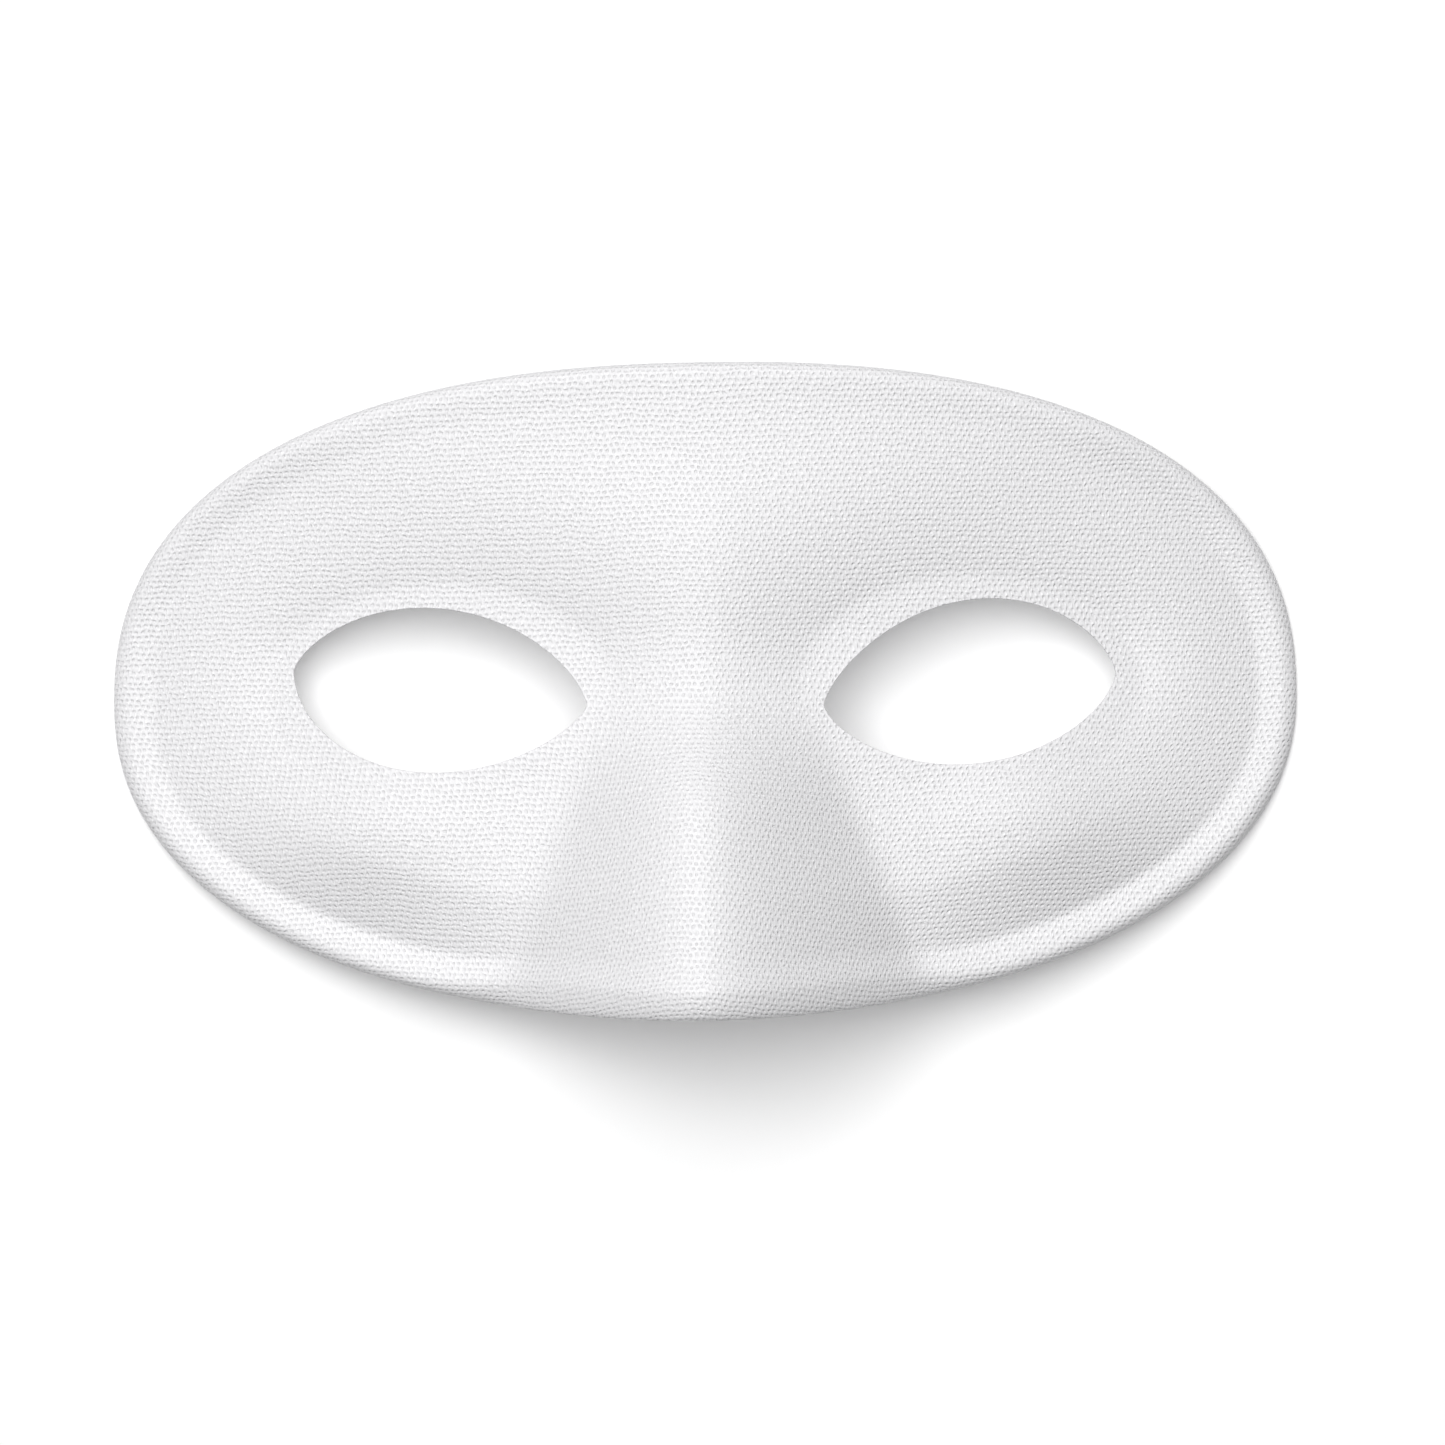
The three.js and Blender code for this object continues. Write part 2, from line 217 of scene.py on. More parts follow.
class MaskForm:
    """The mask's outer face as a height over the floor, from the sizes in the sidebar."""

    def __init__(self, sizes):
        self.s = sizes
        self.half_width = sizes.width / 2
        self.half_height = sizes.height / 2
        self.upper = sizes.height * UPPER_SHARE
        self.lower = sizes.height - self.upper
        self.widest_y = (self.lower - self.upper) / 2
        self.dense_turns = np.linspace(0, 2 * math.pi, OUTLINE_STEPS + 1)
        self.run = path_run(*self.outline(self.dense_turns)[:2])
        self.edge = np.stack(self.outline(self.even_turns(EDGE_POINTS))[:2], 1)
        end = np.array([self.half_width]), np.array([self.widest_y])
        self.floor = self.face_height(*end, 0.0)[0] - sizes.roll_drop + REST_FLAT

    def outline(self, turns):
        """Points of the outline and its outward directions, as x, y, out_x, out_y."""
        c, s = np.cos(turns), np.sin(turns)
        height = np.where(s >= 0, self.upper, self.lower)
        power = np.where(s >= 0, UPPER_SQUARENESS, LOWER_SQUARENESS)
        x = self.half_width * np.sign(c) * np.abs(c) ** (2 / power)
        rise = height * np.sign(s) * np.abs(s) ** (2 / power)
        out_x = np.sign(c) * np.abs(x / self.half_width) ** (power - 1) / self.half_width
        out_y = np.sign(s) * np.abs(rise / height) ** (power - 1) / height
        length = np.hypot(out_x, out_y)
        return x, self.widest_y + rise, out_x / length, out_y / length

    def even_turns(self, count):
        """Turns of the outline's points at even steps along it."""
        marks = np.arange(count) * self.run[-1] / count
        return np.interp(marks, self.run, self.dense_turns)

    def edge_distance(self, x, y):
        return loop_gap(np.stack([x, y], 1), self.edge)

    def crease_x(self, y):
        """Distance of the nose's creases from the middle."""
        below = mix(self.s.bridge_width, self.s.nose_foot_width, clamp01(-y / self.half_height))
        above = mix(self.s.bridge_width, BROW_SPREAD, (y / BROW_TOP) ** 2)
        return np.where(y < 0, below, above) / 2

    def cheek_field(self, x, y):
        """How far the face sinks around an eye and swells on the cheek below it."""
        dx = x - self.s.eye_centre
        ring = np.maximum(np.hypot(dx / (FIELD_WIDTH / 2), y / (FIELD_HEIGHT / 2)), 0.001)
        beyond = (ring - 1) * np.hypot(dx, y) / ring
        upper = ease((y + FIELD_TURN) / (2 * FIELD_TURN))
        ramp = mix(FIELD_CHEEK_RAMP, FIELD_BROW_RAMP, upper)
        depth = self.s.field_depth * mix(FIELD_CHEEK_SHARE, 1, upper)
        kept = 1 - ease((x - FIELD_FADE[0]) / (FIELD_FADE[1] - FIELD_FADE[0]))
        sunk = -depth * kept * (1 - clamp01(beyond / ramp)) ** 2
        swell = bell((dx - CHEEK_OUT) / CHEEK_REACH[0]) * bell((y + CHEEK_DOWN) / CHEEK_REACH[1])
        return sunk + self.s.cheek_rise * swell

    def turn_at(self, x, y):
        """Degrees around the face from its widest line, the same on both sides."""
        return np.degrees(np.arctan2(y / self.half_height, np.abs(x) / self.half_width))

    def nose_share(self, turn):
        """How far a part of the rim lies under the nose, from 0 to 1."""
        low, full = NOSE_CREST_TURNS
        return ease((turn - low) / (full - low))

    def crest_inset(self, turn):
        return mix(self.s.crest_inset, self.s.nose_crest_inset, self.nose_share(turn))

    def nose_slope(self, y):
        bridge = self.s.bridge_slope * ease((BROW_TOP - y) / (BROW_TOP - NOSE_BREAK))
        steeper = self.s.nose_slope - self.s.bridge_slope
        return bridge + steeper * ease((NOSE_BREAK - y) / NOSE_FULL)

    def face_height(self, x, y, inset):
        """Height of the outer face without its rolled edge; inset is the distance to the edge."""
        ax = np.abs(x)
        wrap = -self.s.wrap_depth * (ax / self.half_width) ** WRAP_POWER
        rounding = mix(BRIDGE_ROUNDING, TIP_ROUNDING, ease(-y / self.half_height))
        crease = self.crease_x(y)
        lean = ease((LEAN_FROM - y) / (LEAN_FROM - LEAN_TO))
        ridge_x = -self.s.ridge_lean * lean
        side = np.where(x < ridge_x, -1.0, 1.0)
        side_width = crease + side * (self.s.crease_lean * lean - ridge_x)
        peak = self.nose_slope(y) * (np.hypot(crease, rounding) - rounding)
        reach = np.hypot(side_width, rounding) - rounding
        fall = peak * (np.hypot(x - ridge_x, rounding) - rounding) / reach
        nose = self.cheek_field(crease, y) + peak - fall
        left_share = lean * ease((SIDE_BLEND - x) / (2 * SIDE_BLEND))
        crease_rounding = mix(RIGHT_CREASE_ROUNDING, LEFT_CREASE_ROUNDING, left_share)
        body = soft_max(self.cheek_field(ax, y), nose, crease_rounding)
        turn = self.turn_at(x, y)
        beyond = inset - self.crest_inset(turn) - self.s.flange_width
        low = bell((turn - DROP_TURN) / DROP_SPREAD)
        drop = -self.s.drop_depth * low * (1 - clamp01(beyond / DROP_WIDTH)) ** DROP_POWER
        share = np.interp(turn, FLANGE_TURNS, FLANGE_SHARES)
        flange = self.s.flange_rise * share * clamp01(-beyond / self.s.flange_width)
        return wrap + body + drop + flange

    def eye_arc(self, t, side_of_face, arc):
        """Height of one arc of an eye hole; t runs from its inner to its outer corner."""
        shift, tilt, arcs = EYES[side_of_face]
        side, rise, inner, outer = arcs[arc]
        peak = inner / (inner + outer)
        bulge = (t / peak) ** inner * ((1 - t) / (1 - peak)) ** outer
        return shift + tilt * (t - 0.5) + side * rise * self.s.eye_height * bulge

    def eye_loop(self, side_of_face, count):
        """Points of one eye hole at even steps, anticlockwise."""
        turn = (1 - np.cos(np.linspace(0, math.pi, EYE_ARC_STEPS + 1))) / 2
        parts = []
        for arc, t in ((0, 1 - turn), (1, turn)):
            x = self.s.eye_centre + self.s.eye_width * (t - 0.5)
            y = self.eye_arc(t, side_of_face, arc)
            run = path_run(x, y)
            marks = np.arange(count // 2) * run[-1] / (count // 2)
            parts.append(np.stack([np.interp(marks, run, x), np.interp(marks, run, y)], 1))
        loop = np.concatenate(parts)
        return loop if side_of_face > 0 else (loop * (-1, 1))[::-1]

    def in_eye(self, x, y):
        t = (np.abs(x) - self.s.eye_centre) / self.s.eye_width + 0.5
        within = (t > 0) & (t < 1)
        t = np.where(within, t, 0.5)
        inside = np.zeros(len(x), bool)
        for side_of_face in EYES:
            upper = self.eye_arc(t, side_of_face, 0)
            lower = self.eye_arc(t, side_of_face, 1)
            inside |= within & (x * side_of_face > 0) & (y < upper) & (y > lower)
        return inside


def in_loop(points, loop):
    """Which points lie inside a closed loop."""
    inside = np.zeros(len(points), bool)
    x, y = points[:, 0], points[:, 1]
    for (ax, ay), (bx, by) in zip(loop, np.roll(loop, -1, 0)):
        if ay != by:
            inside ^= ((ay > y) != (by > y)) & (x < ax + (y - ay) * (bx - ax) / (by - ay))
    return inside


def loop_gap(points, loop):
    """Distance from each point to the nearest point of a loop."""
    gap = np.empty(len(points))
    for start in range(0, len(points), GAP_BATCH):
        part = slice(start, start + GAP_BATCH)
        away = points[part, None] - loop[None]
        gap[part] = np.sqrt((away * away).sum(axis=2).min(axis=1))
    return gap


def loop_outward(points):
    """Unit directions away from a closed anticlockwise loop."""
    along = np.roll(points, -1, 0) - np.roll(points, 1, 0)
    return unit(np.stack([along[:, 1], -along[:, 0]], 1))


def ring_quads(first, second):
    """Quads between two closed rings of points, each given by its points' indices."""
    return np.stack([first, np.roll(first, -1), np.roll(second, -1), second], 1)


def rim_row(r):
    """Where one row of the rim stands among the points; row 0 is the rolled edge."""
    return slice(r * RIM_POINTS, (r + 1) * RIM_POINTS)


def roll_bend(r):
    """How far the roll has turned from the edge's outward direction at one of its rows."""
    return math.pi / 2 * r / ROLL_ROWS


def rim_rows(form):
    """Rows of points from the rolled edge to just inside the valley, and the outward directions."""
    sizes = form.s
    turns = form.even_turns(RIM_POINTS)
    ex, ey, ox, oy = form.outline(turns)
    turn = form.turn_at(ex, ey)
    crest = form.crest_inset(turn)
    edge_top = form.face_height(ex, ey, np.zeros(RIM_POINTS))
    roll = edge_top - np.maximum(form.floor, edge_top - sizes.roll_drop)
    nose = form.nose_share(turn)
    straight = NOSE_LIP_STRAIGHT * nose
    power = mix(ROLL_POWER, 1.0, nose)
    steps = []
    for i in range(ROLL_ROWS):
        bend = roll_bend(i)
        level, upward = math.cos(bend) ** power, math.sin(bend) ** power
        steps.append((crest * (1 - level), mix(1 - upward, math.cos(bend), straight)))
    for i in range(FLANGE_ROWS):
        steps.append((crest + sizes.flange_width * i / FLANGE_ROWS, 0.0))
    for i in range(VALLEY_ROWS + 1):
        steps.append((crest + sizes.flange_width + VALLEY_SPAN * i / VALLEY_ROWS, 0.0))
    rows = []
    for inset, roll_left in steps:
        x = ex - ox * inset
        y = ey - oy * inset
        z = form.face_height(x, y, inset) - roll * roll_left - form.floor
        rows.append(np.stack([x, y, z], 1))
    return rows, np.stack([ox, oy, np.zeros(RIM_POINTS)], 1)


def face_points(form, border):
    """Loops around the eye holes, and an even field of points between them and the border row."""
    holes = [form.eye_loop(side, EYE_POINTS) for side in EYES]
    lips = [hole + loop_outward(hole) * EYE_LIP for hole in holes]
    xs = np.arange(-form.half_width, form.half_width, FACE_STEP)
    ys = np.arange(-form.half_height, form.half_height, FACE_STEP * math.sqrt(3) / 2)
    gx, gy = np.meshgrid(xs, ys)
    gx = gx + (np.arange(len(ys)) % 2)[:, None] * FACE_STEP / 2
    field = np.stack([gx.ravel(), gy.ravel()], 1)
    field = field[in_loop(field, border) & ~form.in_eye(field[:, 0], field[:, 1])]
    for loop in (border, *holes, *lips):
        field = field[loop_gap(field, loop) > LOOP_CLEARANCE]
    return holes + lips, field


def chain_edges(start, count):
    return [(start + i, start + (i + 1) % count) for i in range(count)]


def outer_face(form):
    """Points, quads and triangles of the outer face, the rim's outward directions and the indices
    of the eye holes' loops."""
    rows, out = rim_rows(form)
    border = rows[-1][:, :2]
    loops, field = face_points(form, border)
    flat = np.concatenate([border, *loops, field])
    edges = chain_edges(0, RIM_POINTS)
    starts = [RIM_POINTS + i * EYE_POINTS for i in range(len(loops))]
    for start in starts:
        edges += chain_edges(start, EYE_POINTS)
    in_mm = [Vector(p) for p in (flat * 1000).tolist()]
    _, _, faces, sources, _, _ = delaunay_2d_cdt(in_mm, edges, [], 0, 1e-6)
    source_of = np.array([s[0] if s else -1 for s in sources])
    triangles = source_of[np.array([f for f in faces if len(f) == 3])]
    centre = flat[triangles].mean(axis=1)
    kept = in_loop(centre, border) & ~in_loop(centre, loops[0]) & ~in_loop(centre, loops[1])
    triangles = triangles[kept & (triangles >= 0).all(axis=1)]
    inner_xy = flat[RIM_POINTS:]
    inset = form.edge_distance(inner_xy[:, 0], inner_xy[:, 1])
    z = form.face_height(inner_xy[:, 0], inner_xy[:, 1], inset) - form.floor
    points = np.concatenate([*rows, np.column_stack([inner_xy, z])])
    base = (len(rows) - 1) * RIM_POINTS
    ring = np.arange(RIM_POINTS)
    firsts = range(0, base, RIM_POINTS)
    quads = np.concatenate([ring_quads(ring + i, ring + i + RIM_POINTS) for i in firsts])
    holes = [np.arange(EYE_POINTS) + base + start for start in starts[:2]]
    return points, quads, triangles + base, out, holes


def point_normals(points, quads, triangles):
    normals = np.zeros_like(points)
    split = np.concatenate([triangles, quads[:, [0, 1, 2]], quads[:, [0, 2, 3]]])
    a, b, c = (points[split[:, i]] for i in range(3))
    face = np.cross(b - a, c - a)
    for i in range(3):
        np.add.at(normals, split[:, i], face)
    return normals / np.maximum(np.linalg.norm(normals, axis=1, keepdims=True), 1e-12)


def cloth_coordinates(form, points, out):
    """Distances over the surface, across and up the face, so that threads keep their pitch."""
    xs = np.linspace(-form.half_width, form.half_width, CLOTH_STEPS[0] + 1)
    ys = np.linspace(-form.half_height, form.half_height, CLOTH_STEPS[1] + 1)
    gx, gy = np.meshgrid(xs, ys)
    flat_x, flat_y = gx.ravel(), gy.ravel()
    outside = np.hypot(flat_x / form.half_width, flat_y / form.half_height) > 1
    inset = np.where(outside, 0.0, form.edge_distance(flat_x, flat_y))
    z = form.face_height(flat_x, flat_y, inset).reshape(gx.shape)
    across = np.zeros_like(z)
    across[:, 1:] = np.cumsum(np.hypot(np.diff(gx, axis=1), np.diff(z, axis=1)), axis=1)
    across -= across[:, [CLOTH_STEPS[0] // 2]]
    up = np.zeros_like(z)
    up[1:] = np.cumsum(np.hypot(np.diff(gy, axis=0), np.diff(z, axis=0)), axis=0)
    up -= up[[CLOTH_STEPS[1] // 2]]
    fx = clamp01((points[:, 0] - xs[0]) / (xs[-1] - xs[0])) * CLOTH_STEPS[0]
    fy = clamp01((points[:, 1] - ys[0]) / (ys[-1] - ys[0])) * CLOTH_STEPS[1]
    ix = np.minimum(fx.astype(int), CLOTH_STEPS[0] - 1)
    iy = np.minimum(fy.astype(int), CLOTH_STEPS[1] - 1)
    tx, ty = fx - ix, fy - iy

    def sample(grid):
        low = mix(grid[iy, ix], grid[iy, ix + 1], tx)
        high = mix(grid[iy + 1, ix], grid[iy + 1, ix + 1], tx)
        return mix(low, high, ty)

    place = np.stack([sample(across), sample(up)], 1)
    for r in reversed(range(ROLL_ROWS)):
        row, above = rim_row(r), rim_row(r + 1)
        step = np.linalg.norm(points[row] - points[above], axis=1)
        place[row] = place[above] + out[:, :2] * step[:, None]
    return place


def wall_directions(outer, quads, triangles, out):
    """Directions square to the outer face; over the roll they turn evenly from outward."""
    away = point_normals(outer, quads, triangles)
    crest = away[rim_row(ROLL_ROWS)].copy()
    for r in range(ROLL_ROWS):
        bend = roll_bend(r)
        away[rim_row(r)] = unit(out * math.cos(bend) + crest * math.sin(bend))
    return away


def inner_face(outer, away, holes, wall):
    """The outer face moved in by the wall, square to it but straight down at the eye holes."""
    gap = np.minimum(*(loop_gap(outer[:, :2], outer[hole][:, :2]) for hole in holes))
    upright = (1 - ease(gap / CUT_REACH))[:, None]
    through = mix(away, np.array([0.0, 0.0, 1.0]), upright)
    return outer - through * wall / (through * away).sum(axis=1, keepdims=True)


def shell_mesh(form):
    """The closed shell: outer face, inner face, rim edge and the cut edges of the eye holes."""
    wall = form.s.wall
    outer, quads, triangles, out, holes = outer_face(form)
    inner = inner_face(outer, wall_directions(outer, quads, triangles, out), holes, wall)
    place = cloth_coordinates(form, outer, out)
    around = np.zeros_like(place)
    for r in range(ROLL_ROWS):
        around[rim_row(r)] = out[:, :2] * wall * (1 - r / ROLL_ROWS)
    points = [outer, inner]
    places = [place, place + around]
    count = len(outer)
    ring = np.arange(RIM_POINTS)
    quad_list = [quads, (quads + count)[:, ::-1], ring_quads(ring + count, ring)]
    total = 2 * count
    for hole in holes:
        into = np.column_stack([-loop_outward(outer[hole][:, :2]), np.zeros(len(hole))])
        previous = hole
        for r in range(1, CUT_ROWS):
            share = r / CUT_ROWS
            bulge = CUT_BULGE * math.sin(math.pi * share)
            points.append(mix(outer[hole], inner[hole], share) + into * bulge)
            places.append(place[hole] + into[:, :2] * wall * share)
            current = total + np.arange(len(hole))
            total += len(hole)
            quad_list.append(ring_quads(previous, current))
            previous = current
        quad_list.append(ring_quads(previous, hole + count))
    vertices = np.concatenate(points)
    all_quads = np.concatenate(quad_list)
    all_triangles = np.concatenate([triangles, (triangles + count)[:, ::-1]])
    mesh = bpy.data.meshes.new("half_mask_shell")
    mesh.from_pydata(vertices.tolist(), [], all_quads.tolist() + all_triangles.tolist())
    mesh.validate()
    mesh.shade_smooth()
    mesh.set_sharp_from_angle(angle=math.radians(SHARP_ANGLE))
    cloth_across, cloth_up = np.concatenate(places).T
    cut = np.zeros(len(vertices))
    cut[2 * count :] = 1.0
    for name, values in (("cloth_across", cloth_across), ("cloth_up", cloth_up), ("cut", cut)):
        layer = mesh.attributes.new(name, "FLOAT", "POINT")
        layer.data.foreach_set("value", values.astype(np.float32))
    return mesh


class Socket:
    """A shader output that takes part in Python sums, so that an expression adds its own nodes."""

    def __init__(self, shader, output):
        self.shader = shader
        self.output = output

    def math(self, operation, *others):
        values = {i: other for i, other in enumerate((self, *others))}
        return self.shader.node("ShaderNodeMath", {"operation": operation}, values)

    def __add__(self, other):
        return self.math("ADD", other)

    __radd__ = __add__

    def __mul__(self, other):
        return self.math("MULTIPLY", other)

    __rmul__ = __mul__

    def __sub__(self, other):
        return self.math("SUBTRACT", other)

    def __rsub__(self, other):
        return self.shader.node("ShaderNodeMath", {"operation": "SUBTRACT"}, {0: other, 1: self})

    def __truediv__(self, other):
        return self.math("DIVIDE", other)

    def __pow__(self, other):
        return self.math("POWER", other)

    def __abs__(self):
        return self.math("ABSOLUTE")

    def over_zero(self):
        return self.math("MAXIMUM", 0.0)

    def clipped(self):
        return self.over_zero().math("MINIMUM", 1.0)


def opaque(colour):
    return (*colour, 1.0)


class Shader:
    """A material's node tree, with one method that adds any node."""

    def __init__(self, name):
        self.material = bpy.data.materials.new(name)
        self.material.use_nodes = True
        self.tree = self.material.node_tree
        self.tree.nodes.clear()

    def node(self, kind, settings=None, inputs=None, output=0):
        node = self.tree.nodes.new(kind)
        for key, value in (settings or {}).items():
            setattr(node, key, value)
        for key, value in (inputs or {}).items():
            if isinstance(value, Socket):
                self.tree.links.new(value.output, node.inputs[key])
            else:
                node.inputs[key].default_value = value
        return Socket(self, node.outputs[output]) if len(node.outputs) else None

    def attribute(self, name):
        return self.node("ShaderNodeAttribute", {"attribute_name": name}, output="Fac")

    def vector(self, x, y, z=0.0):
        return self.node("ShaderNodeCombineXYZ", None, {0: x, 1: y, 2: z})

    def noise(self, vector, scale, detail=2.0):
        inputs = {"Vector": vector, "Scale": scale, "Detail": detail}
        return self.node("ShaderNodeTexNoise", None, inputs, "Fac")

    def blend(self, factor, a, b):
        inputs = {"Factor": factor, 6: opaque(a), 7: opaque(b)}
        return self.node("ShaderNodeMix", {"data_type": "RGBA"}, inputs, "Result")

    def bump(self, strength, distance, height):
        inputs = {"Strength": strength, "Distance": distance, "Height": height}
        return self.node("ShaderNodeBump", None, inputs, "Normal")

    def finish(self, surface):
        """The material, with one Principled shader as its surface."""
        principled = self.node("ShaderNodeBsdfPrincipled", None, surface)
        self.node("ShaderNodeOutputMaterial", None, {"Surface": principled})
        return self.material


def woven_cloth(look):
    """Plain weave: crowns where a thread passes over, hollows at the corners between threads.
    Its colour has painted glints on the crowns and painted shade in the hollows and between rows.
    """
    cloth = Shader("white_woven_cloth")
    across = cloth.attribute("cloth_across")
    up = cloth.attribute("cloth_up")
    place = cloth.vector(across, up)
    turned = cloth.vector(up, across)
    wander = (cloth.noise(place, WANDER_SCALE) - 0.5) * look.thread_drift
    stray = (cloth.noise(turned, STRAY_SCALE) - 0.5) * look.thread_drift
    sway = (cloth.noise(place, SWAY_SCALE) - 0.5) * look.thread_sway
    u = (across / look.warp_pitch + wander + sway) * math.pi
    v = (up / look.weft_pitch + stray * STRAY_SHARE + sway) * math.pi
    crown = (-1.0 * u.math("SINE") * v.math("SINE")).over_zero()
    row_edge = abs(v.math("COSINE"))
    # The hollow and row masks shape the relief, and also the painted shade in the colour.
    hollow = (u.math("COSINE") * v.math("COSINE")).over_zero() ** HOLLOW_POWER
    hollow = hollow * row_edge**HOLLOW_LENGTHENING
    between_rows = row_edge**ROW_POWER
    speckle = cloth.noise(place, SPECKLE_SCALE, 1.0) - 0.5
    woven = 1 - cloth.attribute("cut") * CUT_WEAVE_LOSS
    relief = crown * CROWN_RELIEF - hollow * HOLLOW_RELIEF - between_rows * ROW_RELIEF
    height = CLOTH_RELIEF + relief * woven
    # Painted highlight: glints lighten the colour of the crowns, in random patches.
    glint_patches = ((cloth.noise(place, GLINT_PATCH_SCALE) - GLINT_PATCH_FROM) * GLINT_PATCH_GAIN).clipped()
    painted_glint = ((crown - 0.5) * 2.0).over_zero() * glint_patches
    # Painted highlight on the crowns, less painted shade in the hollows and between the rows.
    painted_light = (painted_glint * GLINT_PAINTED_HIGHLIGHT - hollow * HOLLOW_PAINTED_SHADE - between_rows * ROW_PAINTED_SHADE) * woven
    tone = (CLOTH_TONE + painted_light + speckle * look.tone_spread).clipped()
    speck_cells = {"Vector": place, "Scale": SPECK_SCALE}
    off_speck = cloth.node("ShaderNodeTexVoronoi", None, speck_cells, "Distance")
    cell_colour = cloth.node("ShaderNodeTexVoronoi", None, speck_cells, "Color")
    cell_pick = cloth.node("ShaderNodeSeparateColor", None, {0: cell_colour})
    picked = cell_pick.math("GREATER_THAN", SPECK_PICK)
    speck = off_speck.math("LESS_THAN", SPECK_RADIUS) * picked * SPECK_DARKNESS
    tone = tone * (1 - speck)
    height = height + speckle * SPECKLE_RELIEF
    return cloth.finish(
        {
            "Base Color": cloth.blend(tone, look.dark_tone_and_shade_colour, look.thread_colour),
            "Roughness": CLOTH_ROUGHNESS - tone * TONE_ROUGHNESS,
            "Normal": cloth.bump(look.bump_strength, look.thread_height, height),
            "Specular IOR Level": look.gloss,
            "Sheen Weight": 0.05,
            "Sheen Roughness": 0.5,
        }
    )


def length(name, text, default):
    return bpy.props.FloatProperty(
        name=name, description=text, default=default, unit="LENGTH", precision=5
    )


def colour(name, text, default):
    return bpy.props.FloatVectorProperty(
        name=name, description=text, default=default, subtype="COLOR", size=3, min=0.0, max=1.0
    )


def number(name, text, default):
    return bpy.props.FloatProperty(name=name, description=text, default=default, precision=4)


class HalfMaskSizes(bpy.types.PropertyGroup):
    width: length("Width", "Across the mask, end to end", CAD_SIZE.x)
    height: length("Height", "From the lower to the upper edge", CAD_SIZE.y)
    wrap_depth: length("Wrap depth", "How far the ends fall behind the middle", 0.0205)
    wall: length("Wall", "Thickness of the shell", 0.0012)
    bridge_width: length("Bridge width", "Between the nose creases at the eyes", 0.027)
    nose_foot_width: length("Nose foot width", "Between the nose creases at the lower edge", 0.062)
    bridge_slope: number("Bridge slope", "Rise for each unit across, at the bridge", 0.40)
    nose_slope: number("Nose slope", "Rise for each unit across, on the nose's sides", 0.88)
    ridge_lean: length("Ridge lean", "How far the nose's ridge leans aside at its foot", 0.0013)
    crease_lean: length("Crease lean", "How far both nose creases shift to the other side", 0.0007)
    eye_centre: length("Eye centre", "From the middle to the centre of an eye hole", 0.0378)
    eye_width: length("Eye width", "From corner to corner of an eye hole", 0.0420)
    eye_height: length("Eye height", "Height of an eye hole", 0.0236)
    field_depth: length("Eye field depth", "How far the face sinks around the eyes", 0.0019)
    cheek_rise: length("Cheek rise", "How far the cheeks swell", 0.0021)
    drop_depth: length("Cheek drop", "How far the face falls to the lower rim", 0.0030)
    crest_inset: length("Crest inset", "From the edge to the rim's crest", 0.0020)
    nose_crest_inset: length("Nose crest inset", "From the edge to the crest at the nose", 0.0041)
    flange_width: length("Flange width", "From the rim's crest to its valley", 0.0037)
    flange_rise: length("Flange rise", "How far the crest stands over the valley", 0.001)
    roll_drop: length("Roll drop", "How far the edge rolls down from the crest", 0.0034)


class HalfMaskCloth(bpy.types.PropertyGroup):
    # Bright end of the cloth's colour; painted glints lighten the crowns towards it.
    thread_colour: colour("Thread colour", "The crowns of the threads", (0.972, 0.968, 0.980))
    # Dark end of the cloth's colour; painted shade darkens the hollows towards it.
    dark_tone_and_shade_colour: colour("Hollow colour", "Between the threads", (0.592, 0.588, 0.600))
    warp_pitch: length("Warp pitch", "From one upright thread to the next", 0.000443)
    weft_pitch: length("Weft pitch", "From one level thread to the next", 0.000813)
    thread_height: length("Thread height", "How far a thread stands over the hollows", 0.00016)
    thread_drift: number("Thread drift", "How far single threads wander, in pitches", 2.0)
    thread_sway: number("Thread sway", "How far the whole cloth sways, in pitches", 2.0)
    tone_spread: number("Tone spread", "How much threads differ in tone", 0.35)
    bump_strength: number("Bump strength", "How strongly the weave shades", 1.0)
    gloss: number("Gloss", "Specular level of the satin threads", 0.7)


class HalfMaskStage(bpy.types.PropertyGroup):
    floor_colour: colour("Floor colour", "The surface the mask lies on", (0.77, 0.77, 0.77))
    floor_glow: number("Floor glow", "A little light of the floor's own", 0.19)
    key_power: number("Key power", "Watts of the soft light from the upper left", 197.0)
    key_size: length("Key size", "Width of the soft light", 3.0)
    key_distance: length("Key distance", "From the mask to the soft light", 4.0)
    key_toward: bpy.props.FloatVectorProperty(
        name="Key direction",
        description="From the mask to the soft light",
        default=(-0.12, 0.26, 1.0),
        size=3,
    )
    sky_strength: number("Sky strength", "Even light from all round", 0.07)
    camera_distance: length("Camera distance", "From the mask to the camera", 1.6)
    frame_width: length("Frame width", "Width of the picture at the mask", 0.2078)
    aim: bpy.props.FloatVectorProperty(
        name="Aim",
        description="Middle of the picture on the mask",
        default=(0.0024, -0.0047),
        size=2,
        unit="LENGTH",
    )
    roll: bpy.props.FloatProperty(
        name="Roll",
        description="Turn of the camera",
        default=math.radians(-1.05),
        subtype="ANGLE",
    )


class HALFMASK_OT_shell(bpy.types.Operator):
    """Build the moulded shell and its woven cloth"""

    bl_idname = "halfmask.shell"
    bl_label = "Build shell"

    def execute(self, context):
        scene = context.scene
        mesh = shell_mesh(MaskForm(scene.half_mask_sizes))
        shell = bpy.data.objects.new("moulded_shell", mesh)
        scene.collection.objects.link(shell)
        shell.data.materials.append(woven_cloth(scene.half_mask_cloth))
        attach(shell, "root")
        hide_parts(NODE)
        return {"FINISHED"}


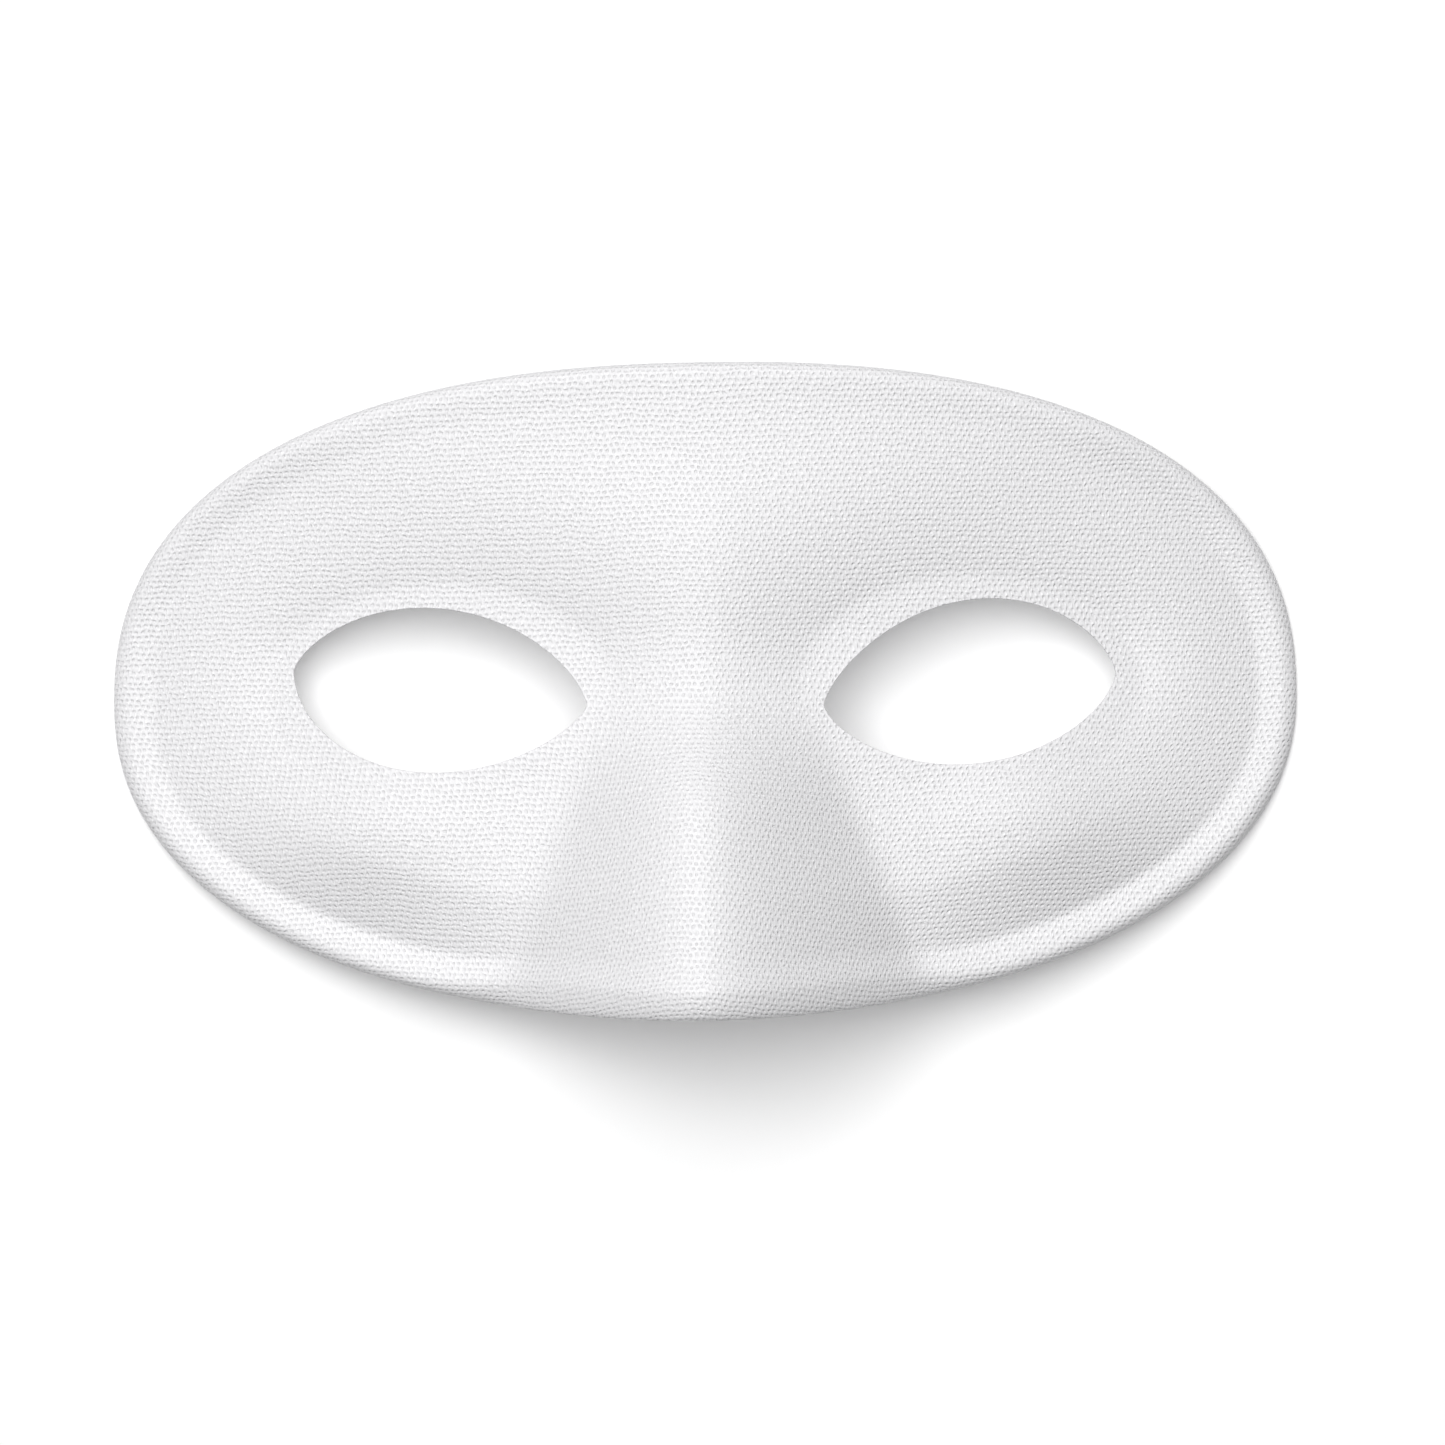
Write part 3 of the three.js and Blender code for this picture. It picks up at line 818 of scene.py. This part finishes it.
class HALFMASK_OT_stage(bpy.types.Operator):
    """Lay the floor and set the lights and the camera"""

    bl_idname = "halfmask.stage"
    bl_label = "Set stage"

    def execute(self, context):
        scene = context.scene
        stage = scene.half_mask_stage
        self.floor(scene, stage)
        self.lights(scene, stage)
        self.camera(scene, stage)
        scene.view_settings.view_transform = "Standard"
        scene.view_settings.gamma = VIEW_GAMMA
        return {"FINISHED"}

    def floor(self, scene, stage):
        mesh = bpy.data.meshes.new("floor")
        ends = ((-1, -1), (1, -1), (1, 1), (-1, 1))
        corners = [(x * FLOOR_HALF, y * FLOOR_HALF, FLOOR_LEVEL) for x, y in ends]
        mesh.from_pydata(corners, [], [(0, 1, 2, 3)])
        floor = bpy.data.objects.new("floor", mesh)
        scene.collection.objects.link(floor)
        paper = Shader("white_paper")
        grain = paper.noise(paper.node("ShaderNodeTexCoord", output="Object"), 900.0)
        surface = {
            "Base Color": opaque(stage.floor_colour),
            "Roughness": 0.9,
            "Specular IOR Level": 0.1,
            "Normal": paper.bump(0.05, 0.00005, grain),
            "Emission Color": WHITE,
            "Emission Strength": stage.floor_glow,
        }
        mesh.materials.append(paper.finish(surface))
        floor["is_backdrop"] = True

    def lights(self, scene, stage):
        light = bpy.data.lights.new("key", "AREA")
        light.shape = "SQUARE"
        light.size = stage.key_size
        light.energy = stage.key_power
        key = bpy.data.objects.new("key", light)
        toward = Vector(stage.key_toward).normalized()
        key.location = toward * stage.key_distance
        key.rotation_euler = toward.to_track_quat("Z", "Y").to_euler()
        scene.collection.objects.link(key)
        world = bpy.data.worlds.new("soft_room")
        world.use_nodes = True
        sky = world.node_tree.nodes["Background"].inputs
        sky["Color"].default_value = WHITE
        sky["Strength"].default_value = stage.sky_strength
        scene.world = world

    def camera(self, scene, stage):
        data = bpy.data.cameras.new("camera")
        data.sensor_width = SENSOR_WIDTH
        data.lens = data.sensor_width * stage.camera_distance / stage.frame_width
        data.clip_end = CAMERA_REACH
        camera = bpy.data.objects.new("camera", data)
        camera.location = (stage.aim[0], stage.aim[1], stage.camera_distance)
        camera.rotation_euler = (0.0, 0.0, stage.roll)
        scene.collection.objects.link(camera)
        scene.camera = camera


class HALFMASK_PT_sidebar(bpy.types.Panel):
    bl_label = "Half Mask"
    bl_idname = "HALFMASK_PT_sidebar"
    bl_space_type = "VIEW_3D"
    bl_region_type = "UI"
    bl_category = "Half Mask"

    def draw(self, context):
        scene = context.scene
        for title, group, button in (
            ("Shell", scene.half_mask_sizes, "halfmask.shell"),
            ("Cloth", scene.half_mask_cloth, None),
            ("Stage", scene.half_mask_stage, "halfmask.stage"),
        ):
            box = self.layout.box()
            box.label(text=title)
            for name in group.__annotations__:
                box.prop(group, name)
            if button:
                box.operator(button)


CLASSES = (
    HalfMaskSizes,
    HalfMaskCloth,
    HalfMaskStage,
    HALFMASK_OT_shell,
    HALFMASK_OT_stage,
    HALFMASK_PT_sidebar,
)


def register():
    for cls in CLASSES:
        bpy.utils.register_class(cls)
    bpy.types.Scene.half_mask_sizes = bpy.props.PointerProperty(type=HalfMaskSizes)
    bpy.types.Scene.half_mask_cloth = bpy.props.PointerProperty(type=HalfMaskCloth)
    bpy.types.Scene.half_mask_stage = bpy.props.PointerProperty(type=HalfMaskStage)


def unregister():
    del bpy.types.Scene.half_mask_stage
    del bpy.types.Scene.half_mask_cloth
    del bpy.types.Scene.half_mask_sizes
    for cls in reversed(CLASSES):
        bpy.utils.unregister_class(cls)


def main():
    register()
    bpy.ops.halfmask.stage()
    bpy.ops.halfmask.shell()


if __name__ == "__main__":
    main()
